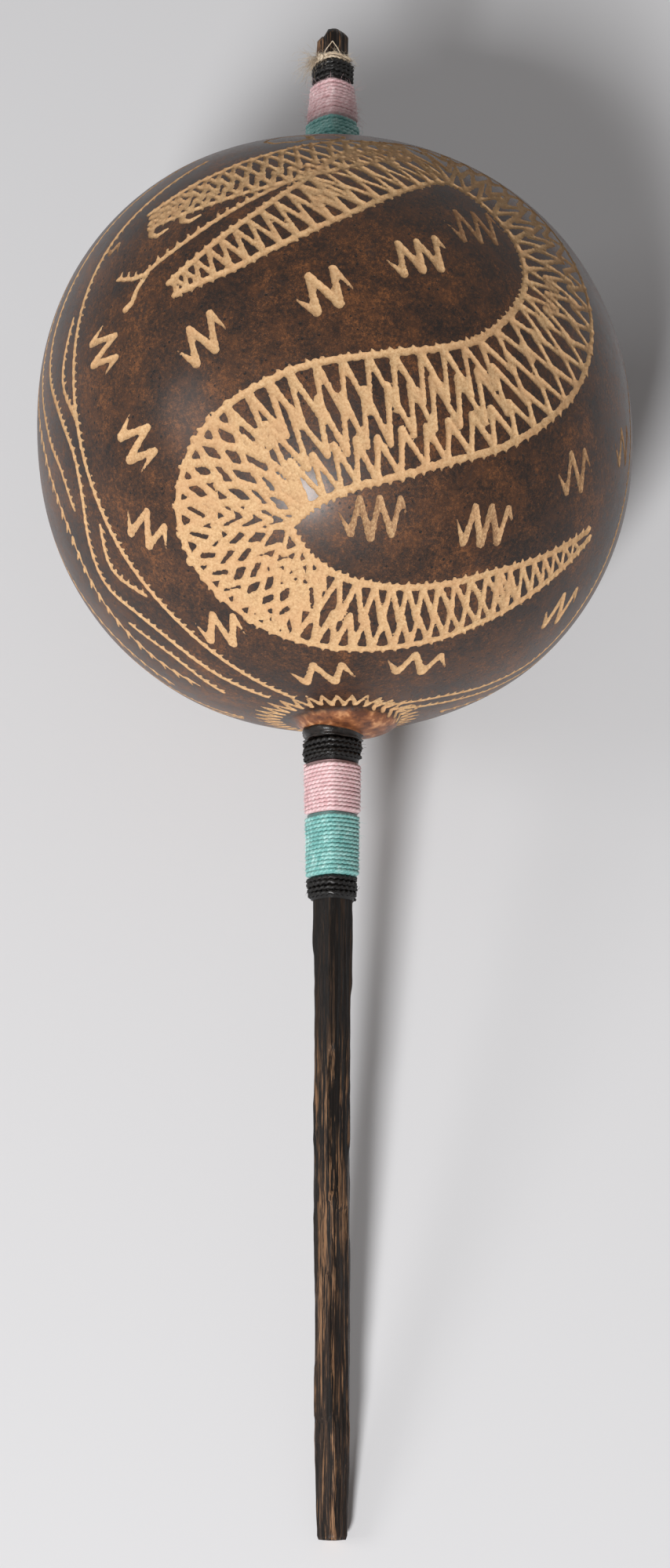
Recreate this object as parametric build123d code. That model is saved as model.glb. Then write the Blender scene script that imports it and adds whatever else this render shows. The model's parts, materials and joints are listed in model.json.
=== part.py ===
from build123d import *

import os
from itertools import pairwise
from math import asin, cos, degrees, hypot, pi, sin, sqrt

os.makedirs("parts", exist_ok=True)

# A gourd rattle. Sizes are in millimetres. It is drawn about its stick: the stick runs along Z, the gourd's
# widest circle lies at Z = 0, the handle points down and +Y is the side that the rattle lies on. At the end
# it is laid down on its belly and the end of its handle.

# Gourd: a round fruit, a little squarer than an ellipse in outline
GOURD_RADIUS = 80.0
GOURD_RISE = 77.6  # widest circle to the blossom-end pole, on top
GOURD_DROP = 79.5  # widest circle to the stem-end pole, at the handle
GOURD_FULLNESS = 2.15  # exponent of the outline: 2 is an ellipse
GOURD_WALL = 3.5
OUTLINE_STEPS = 12  # points on each quarter of an outline

# Stem scar: a low knob that the fruit hung from, off to one side of the stick
SCAR_RADIUS = 14.5
SCAR_OFFSET = 3.8
SCAR_FULLNESS = 2.6
SCAR_STANDS = 3.6  # beyond the stem-end pole
SCAR_ROOT = 0.2  # left between the knob's root and the inside of the wall

# Stick: squared palm wood with its corners taken off, one corner up and one down
STICK_CORNER = 5.35  # axis to a corner's flat, where the lower bindings end
TIP_CORNER = 4.4  # the same at the tip
CORNER_FLAT = 0.9  # half the width of a corner's flat
BARE_HANDLE = 160.0  # from the lower bindings to the butt
BARE_TIP = 8.4  # from the upper bindings to the tip
TIP_ROUNDING = 1.4
TIP_THINNER = 0.1  # how much thinner its corners are just before the rounding
BUTT_ROUNDING = 0.7
# How the bare handle was whittled: its share from bindings to butt, how much thinner its corners are, and
# its sway
WHITTLING = [
    (0.17, 0.28, 0.0),
    (0.35, 0.52, -0.1),
    (0.52, 0.48, 0.1),
    (0.69, 0.80, -0.15),
    (0.80, 0.62, 0.15),
    (0.92, 1.25, 0.05),
]
BUTT_THINNER = 1.65

# Pitch that seals the stem-end hole round the stick
PITCH_GAP = 1.2  # from the stick's corners to the hole
PITCH_BEAD = 1.3  # height over the stem scar
BEAD_ROOT = 0.9  # how far the bead is let into the gourd's stem end
BEAD_SPREAD = 3.7  # bead's foot, outside the stick's corners
BEAD_NECK = 2.5  # bead's end, outside the stick's corners

# Bindings: thickness of one turn of each, and how far a turn's ridge stands out as a share of it
YARN = 0.98
CORD = 1.55
THREAD = 0.9
RIDGE = 0.42
SEAT = 0.5  # how far below the gourd's pole the upper bindings' first turn reaches, down to its curve
# Name, thickness, turns, and the height over the stick's corners at its first and last turn
LOWER_BINDINGS = [
    ("collar_cord", CORD, 4, 2.8, 2.7),
    ("lower_pink_yarn", YARN, 14, 2.5, 2.2),
    ("lower_turquoise_yarn", YARN, 17, 2.1, 1.75),
    ("lower_end_cord", CORD, 4, 1.65, 1.2),
]
UPPER_BINDINGS = [
    ("upper_turquoise_yarn", YARN, 14, 3.35, 3.0),
    ("upper_pink_yarn", YARN, 12, 2.95, 1.6),
    ("upper_end_cord", CORD, 4, 1.7, 1.5),
    ("tip_tie_thread", THREAD, 2, 0.95, 0.85),
]

# Seeds: they lie in a heap, rows resting on rows, each on its own circle round the stick
SEED_RADIUS = 3.0  # the largest
SEED_SMALLER_BY = [0.0, 0.15, 0.05, 0.2]  # taken in turn
SEED_GAP = 0.35  # running clearance to the wall and between the largest seeds
SEEDS_IN_BOTTOM_ROW = 6
SEED_ROWS = 3


def outline_point(radius, pole, fullness, share):
    """A point of a quarter outline, from the widest circle at share 0 to the pole at share 1."""
    angle = share * pi / 2
    across = round(radius * cos(angle) ** (2 / fullness), 6)
    return (across, 0, pole * sin(angle) ** (2 / fullness))


def round_outline(radius, drop, rise):
    """The gourd's outline from its lower pole round to its upper one."""
    steps = range(OUTLINE_STEPS)
    lower = [outline_point(radius, -drop, GOURD_FULLNESS, 1 - step / OUTLINE_STEPS) for step in steps]
    upper = [outline_point(radius, rise, GOURD_FULLNESS, step / OUTLINE_STEPS) for step in steps]
    top = outline_point(radius, rise, GOURD_FULLNESS, 1)
    return Spline(*lower, *upper, top, tangents=[(1, 0, 0), (-1, 0, 0)])


def ring(edges):
    """The solid that a closed outline in the XZ plane sweeps round the stick."""
    return revolve(make_face(edges), axis=Axis.Z)


# ---- where things are along the stick ----
stem_face = -GOURD_DROP - SCAR_STANDS - PITCH_BEAD
lower_end = stem_face - sum(thickness * turns for _, thickness, turns, _, _ in LOWER_BINDINGS)
top_seat = GOURD_RISE - SEAT
upper_end = top_seat + sum(thickness * turns for _, thickness, turns, _, _ in UPPER_BINDINGS)
butt = lower_end - BARE_HANDLE
tip = upper_end + BARE_TIP


def corner_at(z):
    """Distance from the axis to the stick's corners, where the stick tapers between its bare ends."""
    share = (z - lower_end) / (upper_end - lower_end)
    return STICK_CORNER + (TIP_CORNER - STICK_CORNER) * share


# The stick's cross-sections: place along it, axis to corner flat, sway
butt_corner = STICK_CORNER - BUTT_THINNER
stick_sections = [
    (butt, butt_corner - BUTT_ROUNDING / 2, 0.0),
    (butt + BUTT_ROUNDING, butt_corner, 0.0),
    *((lower_end - BARE_HANDLE * at, STICK_CORNER - thinner, sway) for at, thinner, sway in WHITTLING[::-1]),
    (lower_end, STICK_CORNER, 0.0),
    (upper_end, TIP_CORNER, 0.0),
    (tip - TIP_ROUNDING, TIP_CORNER - TIP_THINNER, 0.0),
    (tip, TIP_CORNER - TIP_ROUNDING, 0.0),
]


def stick_section(z, corner, sway):
    """A square with one corner up, its corners cut off at the given distance from its middle."""
    points = []
    for turn in range(4):
        for side in (-CORNER_FLAT, CORNER_FLAT):
            angle = turn * pi / 2
            points.append(
                (sway + corner * cos(angle) - side * sin(angle), corner * sin(angle) + side * cos(angle), z)
            )
    return make_face(Polyline(*points, close=True))


stem_hole_radius = corner_at(-GOURD_DROP) + PITCH_GAP


def palm_stick():
    return loft([stick_section(*section) for section in stick_sections], ruled=True)


def stem_scar():
    """The knob at the stem end, rooted inside the thickness of the wall."""
    root = -(GOURD_DROP - GOURD_WALL) - SCAR_ROOT
    height = GOURD_DROP + SCAR_STANDS + root
    quarter = [
        outline_point(SCAR_RADIUS, -height, SCAR_FULLNESS, step / OUTLINE_STEPS)
        for step in range(OUTLINE_STEPS + 1)
    ]
    outline = Spline(*quarter, tangents=[(0, 0, -1), (-1, 0, 0)])
    middle = Line(quarter[-1], (0, 0, 0))
    return Pos(SCAR_OFFSET, 0, root) * ring([outline, middle, Line((0, 0, 0), quarter[0])])


def gourd_shell(stick):
    outer = round_outline(GOURD_RADIUS, GOURD_DROP, GOURD_RISE)
    inner = round_outline(GOURD_RADIUS - GOURD_WALL, GOURD_DROP - GOURD_WALL, GOURD_RISE - GOURD_WALL)
    top = Line((0, 0, GOURD_RISE), (0, 0, GOURD_RISE - GOURD_WALL))
    bottom = Line((0, 0, GOURD_WALL - GOURD_DROP), (0, 0, -GOURD_DROP))
    shell = ring([outer, top, inner, bottom]) + stem_scar()
    hole = Pos(0, 0, -GOURD_DROP) * Cylinder(stem_hole_radius, 2 * (GOURD_WALL + SCAR_STANDS))
    return shell - hole - stick


def pitch_seal(gourd, stick):
    """Pitch in the stem-end hole, with a bead on the stem scar that the collar cord is pushed against."""
    corner = corner_at(stem_face)
    inside = GOURD_WALL - GOURD_DROP
    foot = -GOURD_DROP + BEAD_ROOT
    points = [
        (0, 0, inside),
        (stem_hole_radius, 0, inside),
        (stem_hole_radius, 0, foot),
        (corner + BEAD_SPREAD, 0, foot),
        (corner + BEAD_SPREAD, 0, stem_face + PITCH_BEAD),
        (corner + BEAD_NECK, 0, stem_face),
        (0, 0, stem_face),
    ]
    return ring(Polyline(*points, close=True)) - gourd - stick


def binding(start, step, turns, first_height, last_height):
    """Turns laid side by side round the stick, each with a rounded ridge; step is one turn's way along Z."""
    ridge = RIDGE * abs(step)
    valleys = []
    for turn in range(turns + 1):
        z = start + turn * step
        height = first_height + (last_height - first_height) * turn / turns
        valleys.append((corner_at(z) + height - ridge, 0, z))
    edges = [Line((0, 0, valleys[0][2]), valleys[0])]
    for one, other in pairwise(valleys):
        crest = ((one[0] + other[0]) / 2 + ridge, 0, (one[2] + other[2]) / 2)
        edges.append(ThreePointArc(one, crest, other))
    edges.append(Line(valleys[-1], (0, 0, valleys[-1][2])))
    edges.append(Line((0, 0, valleys[-1][2]), (0, 0, valleys[0][2])))
    return ring(edges)


def bindings(stack, start, direction, stick):
    """The named bindings of a stack, each against the last."""
    made = {}
    for name, thickness, turns, first_height, last_height in stack:
        wound = binding(start, direction * thickness, turns, first_height, last_height)
        made[name] = wound - stick
        start += direction * thickness * turns
    return made


def inner_radius(angle):
    """Distance from the gourd's middle to the inside of its wall, at an angle below the widest circle."""
    across = cos(angle) / (GOURD_RADIUS - GOURD_WALL)
    along = sin(angle) / (GOURD_DROP - GOURD_WALL)
    return (across**GOURD_FULLNESS + along**GOURD_FULLNESS) ** (-1 / GOURD_FULLNESS)


def perched(one, other, apart):
    """Where a seed rests on two others, one above the other along the stick: as far from each as given."""
    across, along = other[0] - one[0], other[1] - one[1]
    length = hypot(across, along)
    height = sqrt(apart**2 - (length / 2) ** 2)
    middle = ((one[0] + other[0]) / 2, (one[1] + other[1]) / 2)
    return (middle[0] + height * along / length, middle[1] - height * across / length)


def seed_places():
    """Each seed's distance from the stick and place along it, row by row from the wall."""
    apart = 2 * SEED_RADIUS + SEED_GAP
    top_row = inner_radius(heap_angle) - SEED_RADIUS - SEED_GAP - (SEED_ROWS - 1) * apart * sqrt(3) / 2
    spacing = 2 * asin(apart / 2 / top_row)  # the top row is the tightest, because it is nearest the stick
    row = []
    for seed in range(SEEDS_IN_BOTTOM_ROW):
        angle = heap_angle + (seed - (SEEDS_IN_BOTTOM_ROW - 1) / 2) * spacing
        reach = inner_radius(abs(angle)) - SEED_RADIUS - SEED_GAP
        row.append((reach * cos(angle), -reach * sin(angle)))
    places = []
    for _ in range(SEED_ROWS):
        places += row
        row = [perched(one, other, apart) for one, other in pairwise(row)]
    return places


def gourd_depth(lean):
    """From the gourd's middle down to its lowest point, when the stick leans back by this angle."""
    power = GOURD_FULLNESS / (GOURD_FULLNESS - 1)
    return ((GOURD_RADIUS * cos(lean)) ** power + (GOURD_DROP * sin(lean)) ** power) ** (1 / power)


def resting_lean():
    """The stick's slope when the belly and the end of the handle both touch the ground."""
    lean = 0.0
    handle = [(z, corner) for z, corner, _ in stick_sections if z < lower_end]
    for _ in range(60):
        lean = min(asin((gourd_depth(lean) - corner * cos(lean)) / -z) for z, corner in handle)
    return lean


lean = resting_lean()
heap_angle = lean  # the lowest place inside the gourd, below its widest circle

stick = palm_stick()
gourd = gourd_shell(stick)
pieces = {"gourd_shell": gourd, "palm_stick": stick, "stem_pitch_seal": pitch_seal(gourd, stick)}
pieces |= bindings(LOWER_BINDINGS, stem_face, -1, stick)
pieces |= bindings(UPPER_BINDINGS, top_seat, 1, stick)
pieces["upper_turquoise_yarn"] -= gourd
for number, (across, along) in enumerate(seed_places()):
    seed = Sphere(SEED_RADIUS - SEED_SMALLER_BY[number % len(SEED_SMALLER_BY)])
    pieces[f"loose_seed_{number + 1:02d}"] = Pos(0, across, along) * seed

# Lay it down and centre it over the origin
laid = Pos(0, 0, gourd_depth(lean)) * Rot(degrees(lean) - 90, 0, 0)
box = Compound(children=[laid * piece for piece in pieces.values()]).bounding_box()
placing = Pos(-box.center().X, -box.center().Y, -box.min.Z) * laid

for name, piece in pieces.items():
    export_step(placing * piece, f"parts/{name}.step")
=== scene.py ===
import json
from math import cos, pi, radians, sin, tau

import bpy
import numpy as np
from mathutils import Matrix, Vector
from mathutils.bvhtree import BVHTree
from mathutils.kdtree import KDTree

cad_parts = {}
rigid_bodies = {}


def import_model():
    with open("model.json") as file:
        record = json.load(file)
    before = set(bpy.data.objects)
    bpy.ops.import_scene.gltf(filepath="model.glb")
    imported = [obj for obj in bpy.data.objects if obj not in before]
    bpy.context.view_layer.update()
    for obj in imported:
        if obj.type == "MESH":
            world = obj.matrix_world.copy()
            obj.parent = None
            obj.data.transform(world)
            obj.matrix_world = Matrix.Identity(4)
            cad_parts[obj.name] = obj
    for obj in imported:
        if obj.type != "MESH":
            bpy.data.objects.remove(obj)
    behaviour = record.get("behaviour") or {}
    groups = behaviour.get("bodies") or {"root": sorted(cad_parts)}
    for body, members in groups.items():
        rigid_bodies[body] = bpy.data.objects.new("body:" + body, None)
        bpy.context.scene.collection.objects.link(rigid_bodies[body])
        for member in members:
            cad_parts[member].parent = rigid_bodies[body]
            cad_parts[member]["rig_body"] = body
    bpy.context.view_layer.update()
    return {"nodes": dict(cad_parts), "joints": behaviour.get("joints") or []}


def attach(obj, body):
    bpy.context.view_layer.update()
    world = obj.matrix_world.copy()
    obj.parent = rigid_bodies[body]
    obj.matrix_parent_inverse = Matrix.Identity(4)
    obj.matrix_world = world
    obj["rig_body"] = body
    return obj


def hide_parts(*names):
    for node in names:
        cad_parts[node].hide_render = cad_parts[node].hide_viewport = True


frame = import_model()

# Everything is worked out in millimetres about the gourd's middle, with Z up the stick, +X across and +Y
# the side that the rattle lies on, so that -Y is its front. Pieces are turned into the row frame as they
# are made.
MM = 0.001
CENTRE = np.array(frame["joints"][0]["pos_m"]) / MM
UP_STICK = np.array(frame["joints"][0]["axis"])
ACROSS = np.array((1.0, 0.0, 0.0))
BASIS = np.array((ACROSS, np.cross(UP_STICK, ACROSS), UP_STICK))
chance = np.random.default_rng(11)


def to_world(points):
    return (CENTRE + np.asarray(points) @ BASIS) * MM


def cad_mesh(node):
    """A CAD node's points, in millimetres about the gourd's middle, and its faces."""
    mesh = frame["nodes"][node].data
    points = np.empty(len(mesh.vertices) * 3)
    mesh.vertices.foreach_get("co", points)
    faces = [tuple(polygon.vertices) for polygon in mesh.polygons]
    return (points.reshape(-1, 3) / MM - CENTRE) @ BASIS.T, faces


def smooth(low, high, value):
    """0 below low, 1 above high and a soft step between."""
    share = np.clip((value - low) / (high - low), 0, 1)
    return share * share * (3 - 2 * share)


def lengths_along(line):
    """The length of a line from its start to each of its points."""
    return np.concatenate(([0], np.cumsum(np.linalg.norm(np.diff(line, axis=0), axis=1))))


def at_lengths(wanted, along, line):
    """The points, or the point, at the wanted lengths along a line."""
    return np.stack([np.interp(wanted, along, line[:, k]) for k in range(3)], -1)


def around_stick(radius, angle, z):
    """Points at radii, angles and heights about the stick."""
    radius, angle, z = np.broadcast_arrays(radius, angle, z)
    return np.stack([radius * np.cos(angle), radius * np.sin(angle), z], -1)


def full_turn(count):
    """Angles spread evenly round a turn."""
    return np.arange(count) / count * tau


# ---- meshes ----
def add_object(name, data):
    thing = bpy.data.objects.new(name, data)
    bpy.context.scene.collection.objects.link(thing)
    return thing


def piece(name, points, faces, materials, nodes, body="rattle", face_material=None, attributes=()):
    """A finished piece from points in millimetres about the gourd's middle."""
    mesh = bpy.data.meshes.new(name)
    mesh.from_pydata(to_world(points).tolist(), [], [tuple(face) for face in faces])
    mesh.polygons.foreach_set("use_smooth", np.ones(len(faces), bool))
    for material in materials:
        mesh.materials.append(material)
    if face_material is not None:
        mesh.polygons.foreach_set("material_index", face_material.astype(np.int32))
    spot = mesh.attributes.new("spot", "FLOAT_VECTOR", "POINT")
    spot.data.foreach_set("vector", np.asarray(points, np.float32).ravel())
    for label, values in attributes:
        mesh.attributes.new(label, "FLOAT", "POINT").data.foreach_set("value", values.astype(np.float32))
    mesh.validate()
    mesh.update()
    thing = add_object(name, mesh)
    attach(thing, body)
    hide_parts(*nodes)
    return mesh


def grid_faces(rows, columns, first=0):
    """Faces of rows of points that each run round and close."""
    row = np.arange(rows - 1)[:, None] * columns
    column = np.arange(columns)[None, :]
    beside = (column + 1) % columns
    faces = np.stack([row + column, row + beside, row + columns + beside, row + columns + column], -1)
    return (faces.reshape(-1, 4) + first).tolist()


def capped_faces(rows, columns):
    """The same, closed at both ends by two more points: the low one, then the high one."""
    faces = grid_faces(rows, columns)
    low, last = rows * columns, (rows - 1) * columns
    for column in range(columns):
        beside = (column + 1) % columns
        faces.append([low, beside, column])
        faces.append([low + 1, last + column, last + beside])
    return faces


def hoop_faces(rows, columns):
    """The same, with the last row joined to the first."""
    return [[corner % (rows * columns) for corner in face] for face in grid_faces(rows + 1, columns)]


def tube(path, sections, outward):
    """A closed tube: sections give the radius at each step and angle; outward is where angle 0 points."""
    ahead = np.gradient(path, axis=0)
    ahead /= np.linalg.norm(ahead, axis=1)[:, None]
    side = outward - (outward * ahead).sum(1)[:, None] * ahead
    side /= np.linalg.norm(side, axis=1)[:, None]
    other = np.cross(ahead, side)
    rows, columns = sections.shape
    angle = full_turn(columns)[None, :, None]
    ring = side[:, None, :] * np.cos(angle) + other[:, None, :] * np.sin(angle)
    points = path[:, None, :] + ring * sections[:, :, None]
    ends = [list(range(columns))[::-1], [(rows - 1) * columns + column for column in range(columns)]]
    return points.reshape(-1, 3), grid_faces(rows, columns) + ends


class Pile:
    """Several closed meshes that are joined into one piece."""

    def __init__(self):
        self.points, self.faces, self.count = [], [], 0

    def add(self, points, faces):
        """Faces count from 0."""
        self.faces += [[corner + self.count for corner in face] for face in faces]
        self.points.append(points)
        self.count += len(points)

    def all_points(self):
        return np.vstack(self.points)


# ---- the gourd's surface ----
gourd_points, _ = cad_mesh("gourd_shell")
GOURD_RADIUS = np.hypot(gourd_points[:, 0], gourd_points[:, 1]).max()
GOURD_RISE = gourd_points[:, 2].max()
SCAR_FACE = gourd_points[:, 2].min()
GOURD_FULLNESS = 2.15
GOURD_WALL = 3.5
SCAR_STANDS = 3.6
SCAR_RADIUS = 14.5
SCAR_OFFSET = 3.8
SCAR_FULLNESS = 2.6
GOURD_DROP = -SCAR_FACE - SCAR_STANDS
BELLY = np.array((0.0, -BASIS[1][2], -BASIS[2][2]))  # straight down
WAVES = [(3.1, 0.35), (5.3, 0.22), (9.0, 0.10), (15.0, 0.05)]  # slight lumps: how many, how high
wave_ways = chance.normal(size=(len(WAVES), 3, 3))
wave_ways /= np.linalg.norm(wave_ways, axis=2)[:, :, None]
wave_starts = chance.uniform(0, tau, (len(WAVES), 3))


def rind_radius(ways):
    """Distance from the gourd's middle to its skin along each unit direction."""
    x, y, z = ways.T
    pole = np.where(z > 0, GOURD_RISE, GOURD_DROP)
    round_part = (np.hypot(x, y) / GOURD_RADIUS) ** GOURD_FULLNESS + (np.abs(z) / pole) ** GOURD_FULLNESS
    radius = round_part ** (-1 / GOURD_FULLNESS)
    lumps = 0.6 * x - 2.2 * x * z
    for (number, height), sides, starts in zip(WAVES, wave_ways, wave_starts):
        for side, start in zip(sides, starts):
            lumps = lumps + height / 3 * np.sin(ways @ side * number + start)
    away = (1 - ways @ BELLY) / 2  # none of it where the gourd touches the ground
    radius = radius + lumps * np.clip(1.6 * away, 0, 1) * smooth(0.0, 0.25, 1 - np.abs(z))
    knob = radius.copy()
    under = np.minimum(z, -0.1)
    for _ in range(3):
        from_knob = np.hypot(knob * x - SCAR_OFFSET, knob * y) / SCAR_RADIUS
        rise = np.clip(1 - from_knob**SCAR_FULLNESS, 0, 1) ** (1 / SCAR_FULLNESS)
        top = GOURD_DROP - GOURD_WALL + (GOURD_WALL + SCAR_STANDS) * rise
        knob = np.where((from_knob < 1) & (z < -0.8), np.maximum(radius, top / -under), radius)
    return knob


def onto_gourd(points):
    ways = points / np.linalg.norm(points, axis=1)[:, None]
    return ways * rind_radius(ways)[:, None]


def at_degrees(places):
    """Points on the skin from degrees round from the front and degrees up from the widest circle."""
    round_, up = np.radians(np.asarray(places, float)).T
    return onto_gourd(np.stack([np.sin(round_) * np.cos(up), -np.cos(round_) * np.cos(up), np.sin(up)], 1))


def evenly(line, step):
    """The same line with points a step apart."""
    along = lengths_along(line)
    return at_lengths(np.linspace(0, along[-1], max(2, int(along[-1] / step) + 1)), along, line)


def flowing(places, step=0.5):
    """A smooth line over the skin through places in degrees."""
    points = at_degrees(places)
    points = np.vstack((2 * points[0] - points[1], points, 2 * points[-1] - points[-2]))
    share = np.linspace(0, 1, 16, endpoint=False)[:, None]
    runs = []
    for a, b, c, d in zip(points, points[1:], points[2:], points[3:]):
        bend = (2 * a - 5 * b + 4 * c - d) * share**2 + (3 * b - a - 3 * c + d) * share**3
        runs.append((2 * b + (c - a) * share + bend) / 2)
    return onto_gourd(evenly(np.vstack((*runs, points[-2:-1])), step))


# ---- the carving: every cut is a gouge stroke with its own width along it ----
CUT_STEP = 0.3
cut_samples = []  # x, y, z, half width and how clean the cut is, along every stroke


def cut(points, widths, clean=1.0):
    """One stroke through points near the skin; its width is given at each of them."""
    points = np.asarray(points, float)
    along = lengths_along(points)
    steps = np.linspace(0, along[-1], max(3, int(along[-1] / CUT_STEP) + 2))
    path = at_lengths(steps, along, points)
    shake = 1 + 0.07 * np.sin(steps * chance.uniform(2, 4) + chance.uniform(0, tau))
    half = np.interp(steps, along, widths) / 2 * shake * chance.uniform(0.92, 1.08)
    cleanness = np.clip(half / 0.45, 0, 1) * clean
    cut_samples.append(np.column_stack((onto_gourd(path), half, cleanness)))


def flowing_cut(places, first, last):
    """One smooth stroke through places in degrees, with its width at each end."""
    line = flowing(places)
    cut(line, np.linspace(first, last, len(line)))


class Band:
    """A strip over the skin: places on it are given along its line and across it."""

    def __init__(self, places, halves):
        """halves are half widths, evenly spread along the line."""
        self.line = flowing(places)
        self.along = lengths_along(self.line)
        self.length = self.along[-1]
        ahead = np.gradient(self.line, axis=0)
        self.side = np.cross(self.line, ahead)
        self.side /= np.linalg.norm(self.side, axis=1)[:, None]
        self.halves = halves

    def half(self, at):
        return np.interp(at / self.length, np.linspace(0, 1, len(self.halves)), self.halves)

    def near(self, place):
        """The length along the line at the point closest to a place in degrees."""
        return self.along[np.linalg.norm(self.line - at_degrees([place]), axis=1).argmin()]

    def place(self, at, across):
        """The point at a length along the line and a distance to its left."""
        return at_lengths(at, self.along, self.line) + across * at_lengths(at, self.along, self.side)


def toothed(band, across, width, every, tooth, lean, side):
    """A cut line along a band with short teeth on one side; across is a share of its half width."""
    stations = np.arange(0, band.length, 1.1)
    wobble = 0.10 * np.sin(stations * 1.9 + chance.uniform(0, tau))
    line = [band.place(at, across * band.half(at) + shift) for at, shift in zip(stations, wobble)]
    cut(line, width * (1 + 0.12 * np.sin(stations * 2.3)))
    at = every / 2
    while at < band.length:
        middle = across * band.half(at)
        reach = tooth * chance.uniform(0.75, 1.25)
        tip = band.place(at + lean * reach, middle + side * (width / 2 + reach))
        cut([band.place(at, middle), tip], [width * 0.95, 0.45])
        at += every * chance.uniform(0.85, 1.15)


def zigzag_row(band, low, high, period, width, start, end, skew=0.3):
    """Legs that run to and fro between two shares of the band's half width, tighter inside a bend."""
    at = start
    foot = band.place(at, low * band.half(at))
    while at < end:
        share = at / band.length
        middle = (low + high) / 2 * band.half(at)
        stretch = np.linalg.norm(band.place(at + 1, middle) - band.place(at, middle))
        thick = np.interp(share, *width) * np.clip(stretch, 0.3, 1.6) ** 0.35
        step = np.interp(share, *period) * np.clip(stretch, 0.3, 1.6) ** -0.7 * chance.uniform(0.88, 1.12)
        head_at = at + step * skew
        head = band.place(head_at, (high + chance.uniform(-0.04, 0.04)) * band.half(head_at))
        cut([foot, (foot + head) / 2, head], [thick * 1.2, thick * 0.9, thick * 1.1], chance.uniform(0.8, 1))
        at += step
        back = band.place(at, (low + chance.uniform(-0.04, 0.04)) * band.half(at))
        cut([head, (head + back) / 2, back], [thick, thick * 0.95, thick * 1.2], chance.uniform(0.8, 1))
        foot = back


def mark(place, turn, valleys, period, tall, clean=1.0):
    """A leaning zigzag with thin tails, centred at a place in degrees and turned about it."""
    middle = at_degrees([place])[0]
    out = middle / np.linalg.norm(middle)
    east = np.cross((0, 0, 1), out)
    east /= np.linalg.norm(east)
    north = np.cross(out, east)
    turned = radians(turn)
    right = east * cos(turned) + north * sin(turned)
    up = north * cos(turned) - east * sin(turned)
    half = period * (valleys + 0.2) / 2
    spots = [(-half, 0.12, 0.3)]
    for number in range(valleys):
        along = -half + period * (0.62 + number)
        spots.append((along, -0.5, 0.6 + 1.8 * clean))
        spots.append((along + 0.33 * period, 0.5, 0.7 + 1.2 * clean))
    spots.append((half + 0.25 * period, chance.uniform(-0.35, 0.0), 0.3))
    feet = []
    for along, rise, _ in spots:
        sideways = right * (along + chance.uniform(-0.3, 0.3))
        feet.append(middle + sideways + up * tall * (rise + chance.uniform(-0.06, 0.06)))
    for (one, other), (_, rise, first), (_, _, last) in zip(zip(feet, feet[1:]), spots, spots[1:]):
        waist = (first + last) / 2 * (0.8 if rise < 0 else 0.9)
        cut([one, (one + other) / 2, other], [first, waist, last], clean * chance.uniform(0.75, 1))


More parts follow.
